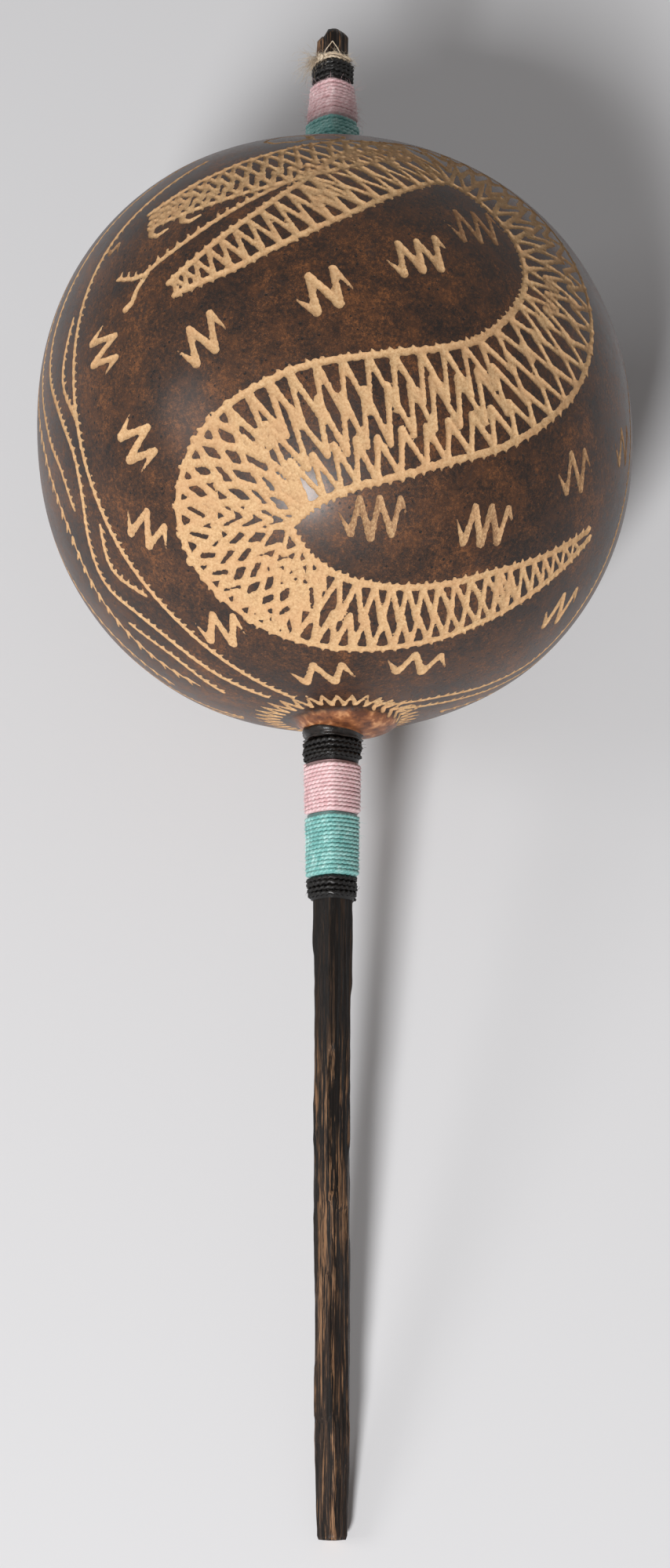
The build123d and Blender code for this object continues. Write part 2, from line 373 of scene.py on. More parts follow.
def carve_serpent():
    body = Band(
        [(-30, 10), (-20, 15), (-10, 21), (0, 28), (10, 36.5), (20, 42.5), (31, 43), (42, 35), (48, 20),
         (44, 4.5), (31, -8.5), (14, -14.5), (-3, -18.5), (-16, -25), (-21, -35), (-14, -46), (2, -52),
         (24, -51), (42, -44), (54, -36), (63, -27)],
        [2.2, 5.6, 7.4, 9.5, 12.0, 13.5, 14.0, 14.0, 14.0, 14.0, 14.0, 14.0, 14.5, 16.0, 17.0, 17.0, 16.0,
         14.0, 12.0, 10.5, 9.0, 7.0, 4.0, 1.2],
    )
    jaw_end, neck_end = body.near((2, 26)), body.near((22, 40))
    bend, bend_end, tail = body.near((-11, -21.5)), body.near((-9, -49)), body.near((45, -42))
    period = ([0, 0.1, 0.25, 0.36, 0.5, 0.6, 0.78, 0.9, 1], [3.6, 4.4, 5.2, 5.8, 6.3, 5.6, 5.0, 4.0, 3.2])
    width = ([0, 0.1, 0.25, 0.5, 0.6, 0.78, 0.9, 1], [1.2, 1.35, 1.5, 1.5, 1.5, 1.65, 1.3, 1.0])
    zigzag_row(body, -0.85, 0.85, period, width, 0.5, jaw_end)
    for low, high in ((-0.94, 0.1), (-0.1, 0.94)):
        zigzag_row(body, low, high, period, width, jaw_end - 6, neck_end)
    for number, (low, high) in enumerate(((-0.94, -0.08), (-0.42, 0.42), (0.28, 0.94))):
        zigzag_row(body, low, high, period, width, neck_end - 3 + 2.1 * number, bend + 3 - 2 * number)
    for number, low in enumerate((-0.96, -0.66, -0.36, -0.05, 0.24, 0.56)):
        zigzag_row(body, low, low + 0.36, ([0, 1], [4.7, 4.7]), ([0, 1], [1.75, 1.75]),
                   bend + 3 - number // 2 * 2 + 0.9 * (number % 2), bend_end, 0.42)
    for low, high in ((-0.94, 0.04), (-0.05, 0.94)):
        zigzag_row(body, low, high, period, width, bend_end - 1, tail, 0.4)
    zigzag_row(body, -0.9, 0.9, period, width, tail - 4, body.length * 0.985, 0.45)
    for side in (-1, 1):
        toothed(body, side * 0.94, 1.75, 2.7, 0.75, 0.5, side)
    for side in (-1, 1):  # ragged tip of the jaw
        cut([body.place(1, side * 1.2), body.place(-0.5, side * 3.0)], [1.8, 0.6])
    jaw = Band([(-40, 27.5), (-33, 30), (-21, 34), (-8, 38.5), (5, 43.5), (20, 47)],
               [3.6, 6.6, 8.6, 9.4, 9.0, 6.0])
    for low, high in ((-0.93, -0.3), (-0.4, 0.35), (0.25, 0.93)):
        zigzag_row(jaw, low, high, ([0, 1], [3.9, 4.8]), ([0, 1], [1.4, 1.5]), 0.5, jaw.length, 0.4)
    for side in (-1, 1):
        toothed(jaw, side * 0.94, 1.5, 2.7, 0.75, 0.5, side)
    for at, reach in ((1.0, 4.6), (10.0, 4.0)):  # fangs that curl back from the jaw's lower edge
        root = -jaw.half(at)
        fang = [(0, 0), (-0.6, 0.6), (1.4, 1), (4.6, 0.9)]
        cut([jaw.place(at + ahead, root - reach * share) for ahead, share in fang], [2.2, 1.9, 1.6, 1.0])
    tongue = Band([(-6, 33), (-13, 29), (-20, 24.8), (-28, 19.8), (-37, 14.5)], [1.0, 1.0])
    toothed(tongue, 0.0, 1.5, 3.0, 1.5, -0.6, -1)
    flowing_cut([(-37, 14.5), (-40, 14.5), (-44, 15.5)], 1.5, 1.1)
    for round_, up in ((-39, 16.2), (-41, 16.6), (-43, 17)):
        cut(at_degrees([(round_, up - 1.6), (round_, up)]), [1.0, 0.5])
    flowing_cut([(-36, 14.5), (-38, 12), (-39, 9.5), (-40.5, 8.5)], 1.3, 1.9)
    for middle, wide, tall in (((-13, 52), 7.0, 3.4), ((-2, 53), 5.5, 3.0)):  # eyes
        ring = [
            (middle[0] + wide * cos(angle), middle[1] + tall * sin(angle) + 0.4 * sin(7 * angle))
            for angle in np.linspace(0, tau, 40)
        ]
        cut(at_degrees(ring), np.full(40, 1.1))


def carve_marks():
    front = [  # place, turn, number of valleys and how clean the cut is
        ((-24, -1), 24, 2, 1), ((-2, 6), 22, 2, 1), ((15, 14), 16, 3, 0.9), ((28, 23), 12, 3, 0.55),
        ((8, -33), 0, 3, 0.7), ((32, -32), 8, 3, 0.75), ((51, -19), 20, 2, 0.7), ((69, -9), 20, 2, 0.7),
        ((69, -41), 28, 2, 0.9), ((-46, 3), -80, 2, 0.9), ((-39, -16), -75, 2, 1),
        ((-42.5, -31), -52, 2, 0.95), ((-36, -53), -22, 2, 1), ((-6, -67), -3, 2, 1), ((33, -62), 12, 2, 1),
        ((80, 12), 30, 2, 0.8),
    ]
    for place, turn, valleys, clean in front:
        period = 5.9 if valleys == 2 else 5.0
        tall = chance.uniform(8.6, 9.6)
        if place[1] < -60:
            tall, period = 7.6, 7.0
        mark(place, turn + chance.uniform(-3, 3), valleys, period, tall, clean)
    mark((-49, 24), -20, 1, 4.5, 3.0, 0.6)


def border(places):
    """A thin line with small teeth."""
    toothed(Band(places, [1.0, 1.0]), 0.0, 1.25, 2.3, 1.15, 0.5, 1)


def feathers(places, every):
    """A row of forked ticks along a line."""
    size = 3.8
    line = Band(places, [1.0, 1.0])
    for at in np.arange(2, line.length - 4, every):
        for ahead, aside, width in ((1.0, 0.2, 1.5), (0.45, 0.75, 1.4)):
            cut([line.place(at, 0.0), line.place(at + size * ahead, -aside * size)], [width, 0.6])


def carve_borders():
    for places in (
        [(-34, 45), (-43, 36), (-50, 27), (-54, 16), (-55.5, 3), (-55, -10), (-54, -22), (-52.5, -34),
         (-49, -47), (-42, -62), (-27, -75)],
        [(-42, 50), (-58, 33), (-67, 14), (-67, 4), (-62, -5), (-58, -14), (-59, -22), (-64, -31), (-66, -38),
         (-61, -46), (-57, -54), (-53, -64), (-44, -73)],
        [(-70, 26), (-74, 8), (-69, -7), (-65, -15), (-64, -23)],
        [(-57.5, 12), (-60, 1), (-55.5, -8)],
        [(-56, -28), (-59.5, -36), (-53, -43)],
        [(-69, -46), (-64, -56), (-66, -68)],
        [(34, -76), (52, -75), (70, -68), (82, -60), (87, -48), (82, -32), (78, -18), (76, -2), (78, 20),
         (70, 42), (56, 56)],
        [(60, -77), (80, -69), (92, -58), (97, -42), (96, -12), (94, 18), (84, 46)],
    ):
        border(places)
    feathers([(-82, 30), (-80, 8), (-73, -9), (-70, -24), (-73, -38), (-75, -52), (-70, -66)], 4.0)
    feathers([(-94, 30), (-92, 0), (-88, -30), (-90, -60)], 4.0)
    feathers([(98, -70), (106, -48), (109, -12), (106, 20)], 3.9)


def carve_back():
    """The side that the rattle lies on: the same borders, feathers and marks, in long panels."""
    bends = ((58, 0.4), (25, 1), (-15, 1.2), (-50, 1), (-72, 0.3))
    for middle in (140, 180, 220, 252):
        for side in (-7, 7):
            border([(middle + side * bend, up) for up, bend in bends])
        feathers([(middle, 48), (middle, -20), (middle, -60)], 6.0)
    for number, middle in enumerate((120, 160, 200, 236)):
        for up in range(44, -60, -18):
            place = (middle + chance.uniform(-2, 2), up)
            mark(place, 12 * (-1) ** number + chance.uniform(-8, 8), 2, 4.8, 7.5)


def carve_star():
    """Long thin teeth round the stem scar."""
    teeth, lean = 34, 0.42
    root, tip = 15.6, 22.0
    rising = ((0, root), (lean, tip)), [1.32, 0.55]
    falling = ((lean, tip), (1, root)), [0.55, 1.43]
    for number in range(teeth):
        for ends, widths in (rising, falling):
            spots = []
            for share, reach in ends:
                angle = (number + share) / teeth * tau
                reach += chance.uniform(-0.6, 0.6)
                spots.append((1.5 + reach * cos(angle), reach * sin(angle), -GOURD_DROP * 0.97))
            cut(spots, widths)


carve_serpent()
carve_marks()
carve_borders()
carve_back()
carve_star()
samples = np.vstack(cut_samples)
sample_tree = KDTree(len(samples))
for index, spot in enumerate(samples[:, :3]):
    sample_tree.insert(spot, index)
sample_tree.balance()


def from_cuts(points):
    """Each point's distance from the nearest stroke's edge, less than 0 inside, and how clean that cut is."""
    distance, clean = np.empty(len(points)), np.empty(len(points))
    halves = samples[:, 3]
    for number, point in enumerate(points):
        near = [(far - halves[index], samples[index, 4]) for _, index, far in sample_tree.find_n(point, 6)]
        distance[number], clean[number] = min(near)
    rough = np.sin(points @ (4.1, 2.3, 3.7)) * np.sin(points @ (-2.9, 4.4, 3.1) + 1.3)
    return distance + 0.07 * rough, clean


# ---- the gourd's mesh: fine near the cuts, coarse elsewhere ----
FINEST = 1.0
COARSEST = 5.0
ROUND = 40  # points on the rings at its two holes
STEM_HOLE, TOP_HOLE = 6.7, 6.0  # radii
GOUGE_DEPTH = 0.5
SCAR_STARTS, SCAR_FULL = -78.9, -79.9  # heights between which skin turns to scar


def edges_of(triangles, count):
    """The edges' numbers, which of them follows each triangle's corners, and the edges' two ends."""
    after = np.roll(triangles, -1, axis=1)
    keys = np.minimum(triangles, after) * count + np.maximum(triangles, after)
    unique, where = np.unique(keys, return_inverse=True)
    return unique, where.reshape(-1, 3), unique // count, unique % count


def split_edges(points, triangles, depth, clean, kept):
    """One round of splitting the edges that are too long for their distance from a cut."""
    count = len(points)
    unique, where, one, other = edges_of(triangles, count)
    length = np.linalg.norm(points[one] - points[other], axis=1)
    length[np.isin(unique, kept)] = 0
    away = np.minimum(np.abs(depth[one]), np.abs(depth[other]))
    wanted = np.clip(FINEST + 0.9 * (away - 0.7), FINEST, COARSEST)
    marked = length > wanted
    if not marked.any():
        return None
    longest = length[where].argmax(1)
    longest_edge = where[np.arange(len(where)), longest]
    while True:
        touched = marked[where].any(1)
        before = marked.sum()
        marked[longest_edge[touched]] = True
        if marked.sum() == before:
            break
    middles = onto_gourd((points[one[marked]] + points[other[marked]]) / 2)
    number = np.full(len(unique), -1)
    number[marked] = count + np.arange(len(middles))
    rows = np.arange(len(where))[:, None]
    turn = (longest[:, None] + np.arange(3)) % 3
    corners, mids = triangles[rows, turn], number[where][rows, turn]
    whole = mids[:, 0] < 0
    a, b, c = corners[~whole].T
    m, p, q = mids[~whole].T
    parts = [corners[whole]]
    for first, last, extra in ((b, c, p), (c, a, q)):
        plain = extra < 0
        parts.append(np.stack([m, first, last], 1)[plain])
        parts.append(np.stack([m, first, extra], 1)[~plain])
        parts.append(np.stack([m, extra, last], 1)[~plain])
    new_depth, new_clean = from_cuts(middles)
    return (np.vstack((points, middles)), np.vstack(parts), np.concatenate((depth, new_depth)),
            np.concatenate((clean, new_clean)))


def split_at_cuts(points, triangles, depth, clean):
    """Splits the triangles that a stroke's edge crosses, so that none is part skin and part flesh."""
    depth = np.where(np.abs(depth) < 0.12 * FINEST, 0, depth)
    count = len(points)
    unique, where, one, other = edges_of(triangles, count)
    crossed = depth[one] * depth[other] < 0
    a, b = one[crossed], other[crossed]
    share = (depth[a] / (depth[a] - depth[b]))[:, None]
    new = onto_gourd(points[a] * (1 - share) + points[b] * share)
    clean = np.concatenate((clean, (clean[a] + clean[b]) / 2))
    number = np.full(len(unique), -1)
    number[crossed] = count + np.arange(len(new))
    mids = number[where]
    cuts = (mids >= 0).sum(1)

    def turned(rows, odd):
        """Their corners and middles, turned so that the odd edge is opposite the first corner."""
        turn = (odd[:, None] + 2 + np.arange(3)) % 3
        return triangles[rows[:, None], turn].T, mids[rows[:, None], turn].T

    parts = [triangles[cuts == 0]]
    rows = np.flatnonzero(cuts == 2)
    (a, b, c), (p, _, q) = turned(rows, mids[rows].argmin(1))
    parts += [np.stack(corners, 1) for corners in ((a, p, q), (p, b, c), (p, c, q))]
    rows = np.flatnonzero(cuts == 1)
    (a, b, c), (_, p, _) = turned(rows, mids[rows].argmax(1))
    parts += [np.stack(corners, 1) for corners in ((a, b, p), (a, p, c))]
    depth = np.concatenate((depth, np.zeros(len(new))))
    return np.vstack((points, new)), np.vstack(parts), depth, clean


def gourd_rows():
    """Heights up of the coarse grid's rows in radians, closer together near the holes."""
    hole_low = -pi / 2 + STEM_HOLE / GOURD_DROP
    hole_high = pi / 2 - TOP_HOLE / GOURD_RISE
    rows = [hole_low]
    while rows[-1] < hole_high:
        rows.append(rows[-1] + 0.9 * cos(rows[-1]) * tau / ROUND)
    stretch = (hole_high - hole_low) / (rows[-1] - hole_low)
    return [hole_low + (row - hole_low) * stretch for row in rows]


def staggered(rows):
    """Unit directions on a ring at each row, every second ring turned by half a step."""
    ways = []
    for number, up in enumerate(rows):
        for step in range(ROUND):
            angle = (step + number % 2 / 2) / ROUND * tau
            ways.append((cos(up) * cos(angle), cos(up) * sin(angle), sin(up)))
    return np.array(ways)


def inner_wall(rows):
    ways = staggered(rows)
    x, y, z = ways.T
    pole = np.where(z > 0, GOURD_RISE, GOURD_DROP) - GOURD_WALL
    flat = np.hypot(x, y) / (GOURD_RADIUS - GOURD_WALL)
    radius = (flat**GOURD_FULLNESS + (np.abs(z) / pole) ** GOURD_FULLNESS) ** (-1 / GOURD_FULLNESS)
    return ways * radius[:, None]


def coarse_skin(count):
    """Triangles between staggered rings."""
    triangles = []
    for number in range(count - 1):
        low, high = number * ROUND, (number + 1) * ROUND
        for step in range(ROUND):
            beside = (step + 1) % ROUND
            a, b, c, d = low + step, low + beside, high + beside, high + step
            triangles += [(a, b, c), (a, c, d)] if number % 2 else [(a, b, d), (b, c, d)]
    return np.array(triangles)


def fine_skin(rows, rings):
    """Points and triangles, and each point's distance from a cut's edge and how clean that cut is."""
    points, triangles = onto_gourd(staggered(rows)), coarse_skin(len(rows))
    depth, clean = from_cuts(points)
    ends = np.array([(ring, np.roll(ring, -1)) for ring in rings])
    for _ in range(40):
        kept = (ends.min(1) * len(points) + ends.max(1)).ravel()
        finer = split_edges(points, triangles, depth, clean, kept)
        if finer is None:
            break
        points, triangles, depth, clean = finer
    return split_at_cuts(points, triangles, depth, clean)


def gourd():
    rows = gourd_rows()
    low_ring = np.arange(ROUND)
    high_ring = low_ring + (len(rows) - 1) * ROUND
    points, triangles, depth, clean = fine_skin(rows, (low_ring, high_ring))
    depth[low_ring] = np.maximum(depth[low_ring], 0)
    corners = depth[triangles]
    flesh = corners[np.arange(len(corners)), np.abs(corners).argmax(1)] < 0
    out = points / np.linalg.norm(points, axis=1)[:, None]
    inside = np.clip(-depth, 0, None)
    sunk = GOUGE_DEPTH * (1 - np.exp(-inside / 0.3)) * np.clip(clean, 0.3, 1)
    points = points - out * sunk[:, None]
    # the inside of the wall, from the coarse grid's own rows, and the rims of the two holes
    inner = inner_wall(rows)
    first = len(points)
    inner_faces = [face[::-1] for face in grid_faces(len(rows), ROUND, first)]
    for ring, inner_ring, flip in ((low_ring, first + low_ring, False), (high_ring, first + high_ring, True)):
        for step in range(ROUND):
            beside = (step + 1) % ROUND
            face = [ring[step], ring[beside], inner_ring[beside], inner_ring[step]]
            inner_faces.append([int(corner) for corner in (face if flip else face[::-1])])
    all_points = np.vstack((points, inner))
    is_flesh = np.concatenate((flesh, np.ones(len(inner_faces), bool)))
    pad = np.zeros(len(inner))
    mesh = piece(
        "gourd_shell_carved", all_points, triangles.tolist() + inner_faces, [skin(), flesh_material()],
        ["gourd_shell"], face_material=is_flesh,
        attributes=[("depth", np.concatenate((depth, pad - 1))), ("clean", np.concatenate((clean, pad + 1))),
                    ("scar", smooth(SCAR_STARTS, SCAR_FULL, all_points[:, 2]))],
    )
    sharpen(mesh, is_flesh)
    lay_out(mesh, all_points, is_flesh, len(triangles))


def whole_numbers(items, label):
    """One whole number from each of a mesh's items."""
    values = np.empty(len(items), np.int32)
    items.foreach_get(label, values)
    return values


def sharpen(mesh, is_flesh):
    """Marks the edges between skin and flesh as sharp."""
    edges = whole_numbers(mesh.loops, "edge_index")
    kind = np.repeat(is_flesh, whole_numbers(mesh.polygons, "loop_total"))
    skins = np.zeros(len(mesh.edges), bool)
    fleshes = np.zeros(len(mesh.edges), bool)
    skins[edges[~kind]] = True
    fleshes[edges[kind]] = True
    sharp = mesh.attributes.new("sharp_edge", "BOOLEAN", "EDGE")
    sharp.data.foreach_set("value", skins & fleshes)


def lay_out(mesh, points, is_flesh, outer):
    """A flat map of the piece: skin and flesh apart, front and back apart, and the inside in a corner."""
    discs = {  # middle and radius of each disc on the map
        (False, True): (0.285, 0.715, 0.275), (False, False): (0.715, 0.285, 0.275),
        (True, True): (0.86, 0.86, 0.12), (True, False): (0.14, 0.14, 0.12),
    }
    loops = whole_numbers(mesh.loops, "vertex_index")
    sizes = whole_numbers(mesh.polygons, "loop_total")
    ways = points / np.linalg.norm(points, axis=1)[:, None]
    face = np.repeat(np.arange(len(sizes)), sizes)
    mean_y = np.bincount(face, ways[loops, 1]) / sizes
    front = (mean_y < 0)[face]
    flesh = is_flesh[face]
    toward = np.where(front, -ways[loops, 1], ways[loops, 1])
    flat = ways[loops][:, [0, 2]]
    reach = np.sqrt(np.clip(1 - toward, 0, 2)) / np.maximum(np.linalg.norm(flat, axis=1), 1e-9)
    spread = flat * reach[:, None]
    uv = np.empty((len(loops), 2))
    for (of_flesh, of_front), (u, v, radius) in discs.items():
        here = (flesh == of_flesh) & (front == of_front)
        uv[here] = np.array((u, v)) + radius * spread[here]
    inside = face >= outer
    uv[inside] = np.array((0.95, 0.05)) + 0.03 * spread[inside]
    layer = mesh.uv_layers.new(name="OFBake")
    layer.data.foreach_set("uv", uv.astype(np.float32).ravel())


# ---- materials ----
def colour(red, green, blue):
    """A colour as it is seen on a screen, 0 to 255, in the shader's own scale."""
    seen = np.array((red, green, blue)) / 255
    linear = np.where(seen <= 0.04045, seen / 12.92, ((seen + 0.055) / 1.055) ** 2.4)
    return (*linear, 1.0)


class Shader:
    """Builds one node material."""

    def __init__(self, name, **settings):
        self.material = bpy.data.materials.new(name)
        self.material.use_nodes = True
        self.nodes = self.material.node_tree.nodes
        self.links = self.material.node_tree.links
        self.surface = self.nodes["Principled BSDF"]
        for label, value in settings.items():
            self.surface.inputs[label.replace("_", " ")].default_value = value

    def put(self, socket, value):
        if hasattr(value, "is_output"):
            self.links.new(value, socket)
        else:
            socket.default_value = value

    def node(self, kind, output=0, inputs=(), **settings):
        made = self.nodes.new("ShaderNode" + kind)
        for label, value in settings.items():
            setattr(made, label, value)
        for label, value in dict(inputs).items():
            self.put(made.inputs[label], value)
        return made.outputs[output]

    def spot(self, x=1.0, y=1.0, z=1.0):
        """The point in millimetres about the gourd's middle, stretched."""
        place = self.node("Attribute", "Vector", attribute_name="spot")
        return self.node("Mapping", 0, {"Vector": place, "Scale": (x, y, z)})

    def value(self, name):
        return self.node("Attribute", "Fac", attribute_name=name)

    def noise(self, vector, scale, detail=3.0, rough=0.55):
        return self.node(
            "TexNoise", "Fac", {"Vector": vector, "Scale": scale, "Detail": detail, "Roughness": rough}
        )

    def cells(self, vector, scale):
        return self.node("TexVoronoi", "Distance", {"Vector": vector, "Scale": scale})

    def math(self, operation, one, other):
        return self.node("Math", 0, {0: one, 1: other}, operation=operation)

    def total(self, *parts):
        """The sum of values, each given with its share."""
        whole = None
        for value, share in parts:
            part = self.math("MULTIPLY", value, share)
            whole = part if whole is None else self.math("ADD", whole, part)
        return whole

    def step(self, value, low, high, start=0.0, end=1.0):
        inputs = {"Value": value, "From Min": low, "From Max": high, "To Min": start, "To Max": end}
        return self.node("MapRange", 0, inputs, interpolation_type="SMOOTHSTEP")

    def ramp(self, factor, stops):
        made = self.nodes.new("ShaderNodeValToRGB")
        self.put(made.inputs[0], factor)
        elements = made.color_ramp.elements
        while len(elements) < len(stops):
            elements.new(0.5)
        for element, (at, shade) in zip(elements, stops):
            element.position = at
            element.color = colour(*shade)
        return made.outputs[0]

    def mix(self, factor, one, other):
        made = self.nodes.new("ShaderNodeMix")
        made.data_type = "RGBA"
        self.put(made.inputs["Factor"], factor)
        for label, value in (("A", one), ("B", other)):
            socket = [s for s in made.inputs if s.name == label and s.type == "RGBA"][0]
            self.put(socket, colour(*value) if isinstance(value, tuple) else value)
        return [s for s in made.outputs if s.type == "RGBA"][0]

    def bump(self, height, depth_mm, strength=1.0):
        inputs = {"Height": height, "Distance": depth_mm * MM, "Strength": strength}
        self.put(self.surface.inputs["Normal"], self.node("Bump", 0, inputs))

    def colour(self, value):
        self.put(self.surface.inputs["Base Color"], value)

    def rough(self, value):
        self.put(self.surface.inputs["Roughness"], value)


def skin():
    """Polished dark rind with mottling, pores, a reddish stem scar and a thin rim of painted shade round
    every cut.
    """
    make = Shader("rind_skin", Coat_Weight=0.34, Coat_Roughness=0.26, Specular_IOR_Level=0.25)
    spot = make.spot()
    broad = make.noise(spot, 0.05, 3.0, 0.6)
    patch = make.noise(spot, 0.22, 4.0, 0.7)
    fine = make.noise(spot, 1.1, 4.0, 0.75)
    grain = make.noise(spot, 4.0, 3.0, 0.7)
    blend = make.total((broad, 0.20), (patch, 0.22), (fine, 0.33), (grain, 0.25))
    base = make.ramp(
        blend, [(0.41, (21, 14, 11)), (0.47, (45, 28, 18)), (0.53, (74, 45, 25)), (0.59, (120, 75, 41))]
    )
    warm = make.step(make.noise(spot, 0.13, 3.0, 0.6), 0.5, 0.66, 0.0, 0.3)
    base = make.mix(warm, base, (92, 55, 29))
    smoky = make.step(make.noise(make.spot(1, 1, 0.7), 0.2, 5.0, 0.75), 0.56, 0.70, 0.0, 0.6)
    base = make.mix(smoky, base, (40, 32, 30))
    specks = make.step(make.noise(spot, 1.3, 3.0, 0.7), 0.57, 0.68, 0.0, 0.75)
    base = make.mix(specks, base, (32, 23, 20))
    near = make.step(make.noise(spot, 0.08, 1.0), 0.35, 0.65, 0.05, 0.13)
    pores = make.step(make.math("SUBTRACT", make.cells(spot, 0.42), near), 0.0, 0.05, 1.0, 0.0)
    base = make.mix(pores, base, (20, 14, 12))
    reddish = [(0.35, (84, 46, 26)), (0.55, (136, 82, 47)), (0.7, (196, 140, 94))]
    base = make.mix(make.value("scar"), base, make.ramp(make.noise(spot, 0.35), reddish))
    # painted shade: the skin darker in a thin rim round every cut, where the groove's wall would shade it
    edge = make.step(make.value("depth"), 0.0, 0.28, 0.6, 0.0)
    base = make.mix(edge, base, (34, 23, 18))
    make.colour(base)
    make.rough(make.math("ADD", make.math("MULTIPLY", fine, 0.25), make.step(patch, 0.3, 0.7, 0.27, 0.37)))
    make.bump(make.total((fine, 0.6), (grain, 0.5), (pores, -0.8)), 0.16, 0.9)
    return make.material


def flesh_material():
    """Pale gourd flesh where the skin is cut away, browner where the stroke is shallow, with painted shade
    just inside each cut's edge.
    """
    make = Shader("rind_flesh", Specular_IOR_Level=0.2)
    spot = make.spot()
    fibre = make.noise(spot, 1.6, 3.0, 0.65)
    base = make.ramp(fibre, [(0.3, (174, 136, 96)), (0.5, (200, 163, 120)), (0.72, (216, 184, 142))])
    broad = make.step(make.noise(spot, 0.12, 2.0), 0.35, 0.7, 0.0, 0.4)
    base = make.mix(broad, base, (196, 150, 110))
    brown = make.noise(make.spot(1, 1, 0.4), 2.2, 3.0, 0.7)
    shallow = make.step(make.math("SUBTRACT", make.value("clean"), brown), -0.1, 0.35, 0.85, 0.0)
    base = make.mix(shallow, base, (120, 86, 62))
    # painted shade: the flesh darker at the top of the groove's walls, just inside the cut's edge
    edge = make.step(make.value("depth"), -0.2, 0.0, 0.0, 0.4)
    base = make.mix(edge, base, (140, 98, 64))
    make.colour(base)
    make.rough(make.step(fibre, 0.3, 0.7, 0.62, 0.82))
    make.bump(make.noise(spot, 2.8, 3.0, 0.7), 0.12, 0.5)
    return make.material


def palm_wood():
    """Black palm wood with tan fibres that run along the stick."""
    make = Shader("palm_wood", Specular_IOR_Level=0.18, Coat_Weight=0.06, Coat_Roughness=0.25)
    fibre = make.noise(make.spot(1.5, 1.5, 0.05), 1.3, 4.0, 0.7)
    wide = make.noise(make.spot(0.5, 0.5, 0.022), 1.0, 2.0, 0.5)
    hair = make.noise(make.spot(4.0, 4.0, 0.12), 1.6, 2.0, 0.6)
    along = make.node("SeparateXYZ", "Z", {0: make.spot()})
    bare = make.step(along, -152.0, -185.0, 0.0, 1.0)
    stub = make.step(along, 100.0, 112.0, 0.0, 0.8)
    worn = make.math("MAXIMUM", bare, stub)
    streak = make.total((fibre, 0.65), (wide, 0.35))
    dark = make.ramp(hair, [(0.35, (9, 7, 6)), (0.6, (20, 15, 12)), (0.75, (40, 28, 21))])
    brown = make.ramp(hair, [(0.35, (26, 19, 15)), (0.6, (58, 43, 34)), (0.75, (96, 74, 58))])
    faded = make.step(make.noise(make.spot(0.9, 0.9, 0.03), 1.1, 3.0, 0.6), 0.42, 0.62, 0.0, 0.85)
    dark = make.mix(make.math("MULTIPLY", faded, make.step(along, -175.0, -250.0, 0.0, 1.0)), dark, brown)
    tan = make.ramp(hair, [(0.3, (88, 63, 45)), (0.55, (142, 105, 75)), (0.75, (190, 150, 112))])
    streaked = make.step(streak, 0.505, 0.59, 0.0, 0.95)
    base = make.mix(make.math("MULTIPLY", streaked, make.step(worn, 0, 1, 0.10, 1.0)), dark, tan)
    dots = make.step(make.cells(make.spot(1, 1, 0.2), 1.7), 0.18, 0.30, 1.0, 0.0)
    end = make.mix(dots, (128, 96, 66), (30, 22, 18))
    make.colour(make.mix(make.value("raw"), base, end))
    make.rough(make.step(fibre, 0.35, 0.7, 0.30, 0.55))
    make.bump(make.total((fibre, 1.0), (hair, 0.5)), 0.22, 0.6)
    return make.material


def yarn_material(name, deep, mid, pale):
    """Silky strands in three shades, with painted shade in the creases between the plies."""
    make = Shader(name, Sheen_Weight=0.25, Sheen_Roughness=0.4, Specular_IOR_Level=0.55)
    spot = make.spot()
    fine = make.noise(spot, 3.2, 3.0, 0.7)
    slow = make.noise(spot, 0.35, 2.0)
    base = make.ramp(make.total((fine, 0.6), (slow, 0.4)), [(0.36, deep), (0.5, mid), (0.64, pale)])
    # painted shade: darker toward the deepest shade in the creases between the plies and on the sleeve behind
    # the strand
    crease_shading = make.step(make.value("crease_shading"), 0.0, 1.0, 0.55, 0.0)
    make.colour(make.mix(crease_shading, base, deep))
    make.rough(make.step(fine, 0.3, 0.7, 0.34, 0.5))
    make.bump(make.noise(make.spot(1, 1, 3), 2.4, 3.0, 0.7), 0.10, 0.6)
    return make.material


def speckled(name, fine, stops, rough, lumps, bump, **settings):
    """A dark material: one noise picks from its colours and sets its roughness, another raises its lumps."""
    make = Shader(name, **settings)
    spot = make.spot()
    shade = make.noise(spot, *fine)
    make.colour(make.ramp(shade, stops))
    make.rough(make.step(shade, 0.3, 0.7, *rough))
    make.bump(make.noise(spot, *lumps), *bump)
    return make.material


def cord_material():
    """Black waxed cord."""
    stops = [(0.35, (8, 7, 7)), (0.6, (19, 17, 16)), (0.75, (44, 38, 32))]
    return speckled("waxed_cord", (2.6, 3.0, 0.65), stops, (0.28, 0.55), (3.5, 3.0, 0.7), (0.14, 0.7),
                    Specular_IOR_Level=0.3, Coat_Weight=0.22, Coat_Roughness=0.16)


def pitch_material():
    stops = [(0.35, (10, 8, 7)), (0.6, (26, 18, 13)), (0.75, (52, 34, 22))]
    return speckled("pitch", (0.9, 3.0, 0.6), stops, (0.25, 0.5), (2.2, 3.0, 0.6), (0.15, 0.6),
                    Specular_IOR_Level=0.3, Coat_Weight=0.15, Coat_Roughness=0.25)


def seed_material():
    stops = [(0.35, (24, 18, 15)), (0.55, (54, 38, 28)), (0.7, (92, 66, 46))]
    return speckled("seed_coat", (0.9, 4.0, 0.6), stops, (0.3, 0.5), (3.0, 2.0, 0.5), (0.06, 0.5),
                    Specular_IOR_Level=0.5, Coat_Weight=0.2, Coat_Roughness=0.3)


# ---- the stick ----
STICK_ROUND = 96
STICK_STEP = 0.9


